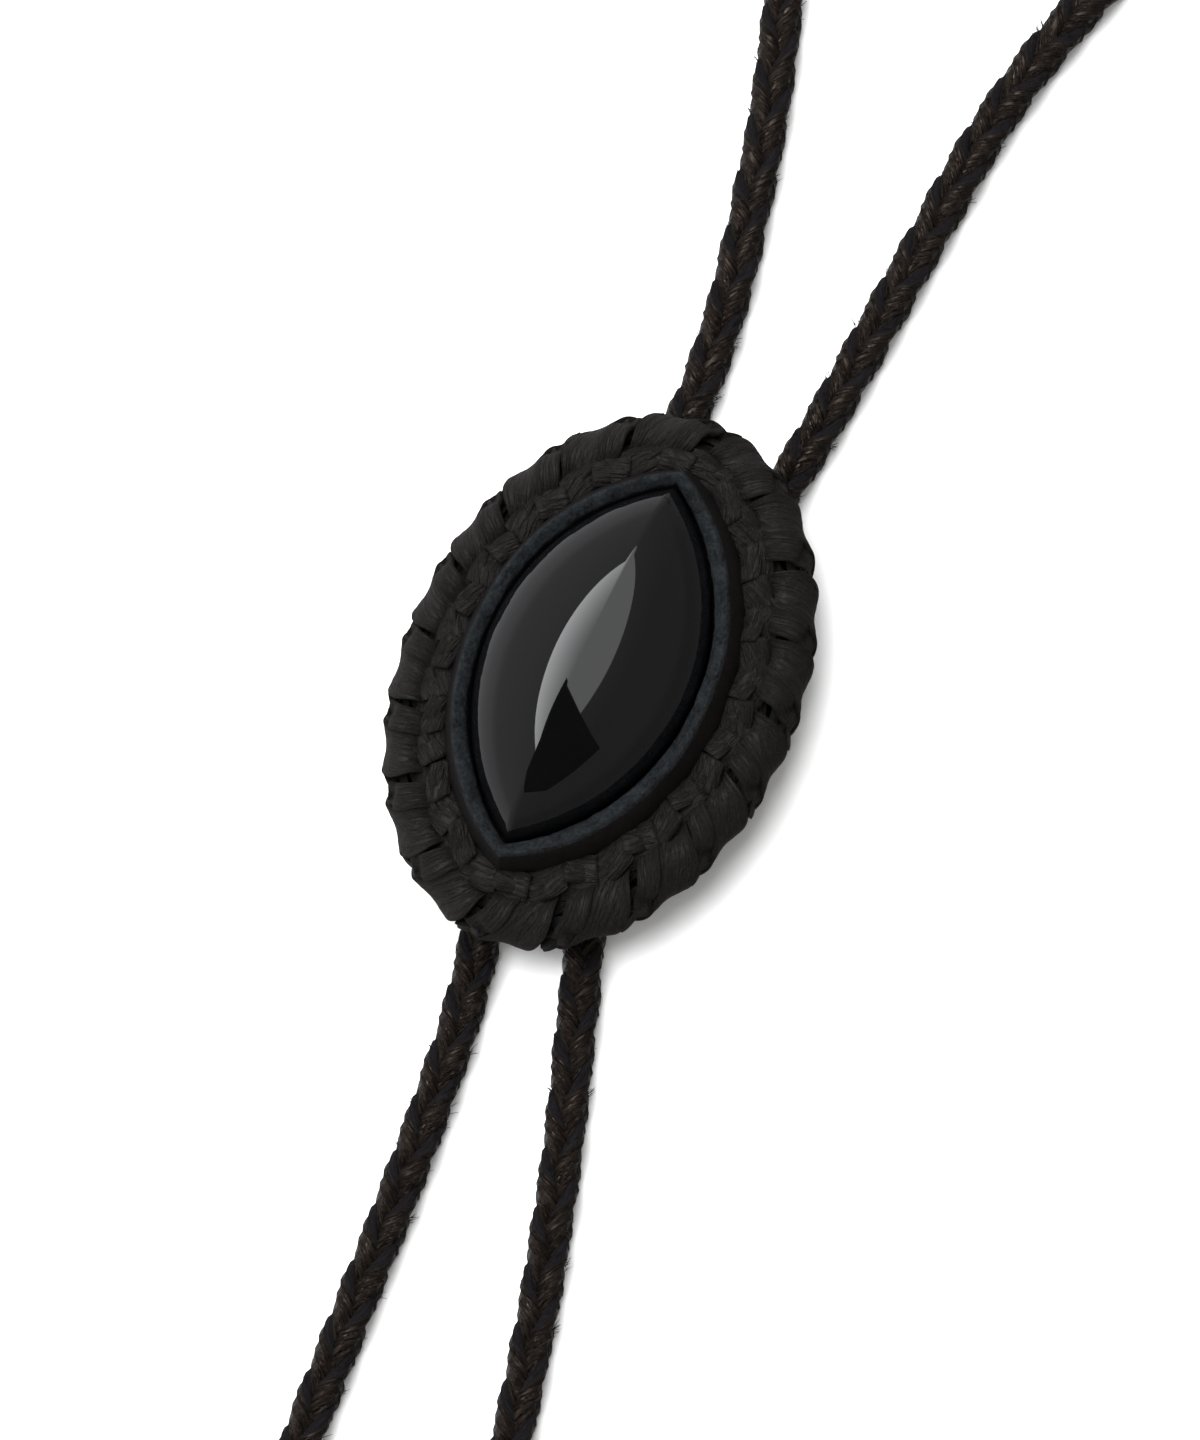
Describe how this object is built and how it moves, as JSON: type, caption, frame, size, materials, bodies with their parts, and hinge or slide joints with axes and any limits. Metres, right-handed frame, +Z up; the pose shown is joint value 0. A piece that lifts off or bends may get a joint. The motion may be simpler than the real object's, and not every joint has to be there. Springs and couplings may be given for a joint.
{
  "type": "bolo tie",
  "caption": "Bolo tie with an oval braided leather slide round a pointed black stone, on a round braided leather cord that forms a neck loop and two short tails.",
  "frame": {"origin": "the floor under the middle of the slide, on the underside of the cord keeper", "axes": "+Z up, +Y along the slide's long axis towards the neck loop"},
  "size_m": [0.1265, 0.3498, 0.0223],
  "materials": {
    "onyx": "polished",
    "slide_leather": "smooth black leather with raw cut edges",
    "lace_leather": "soft creased black lace with a low sheen",
    "cord_leather": "finely striated black lace with a bronze sheen"
  },
  "bodies": {
    "root": {"stone": "onyx", "bezel": "slide_leather", "inner_braid": "lace_leather", "edge_lacing": "lace_leather", "backing": "slide_leather", "cord_keeper": "slide_leather", "neck_loop": "cord_leather", "tail_left": "cord_leather", "tail_right": "cord_leather", "tip_left": "slide_leather", "tip_right": "slide_leather"}
  },
  "joints": []
}
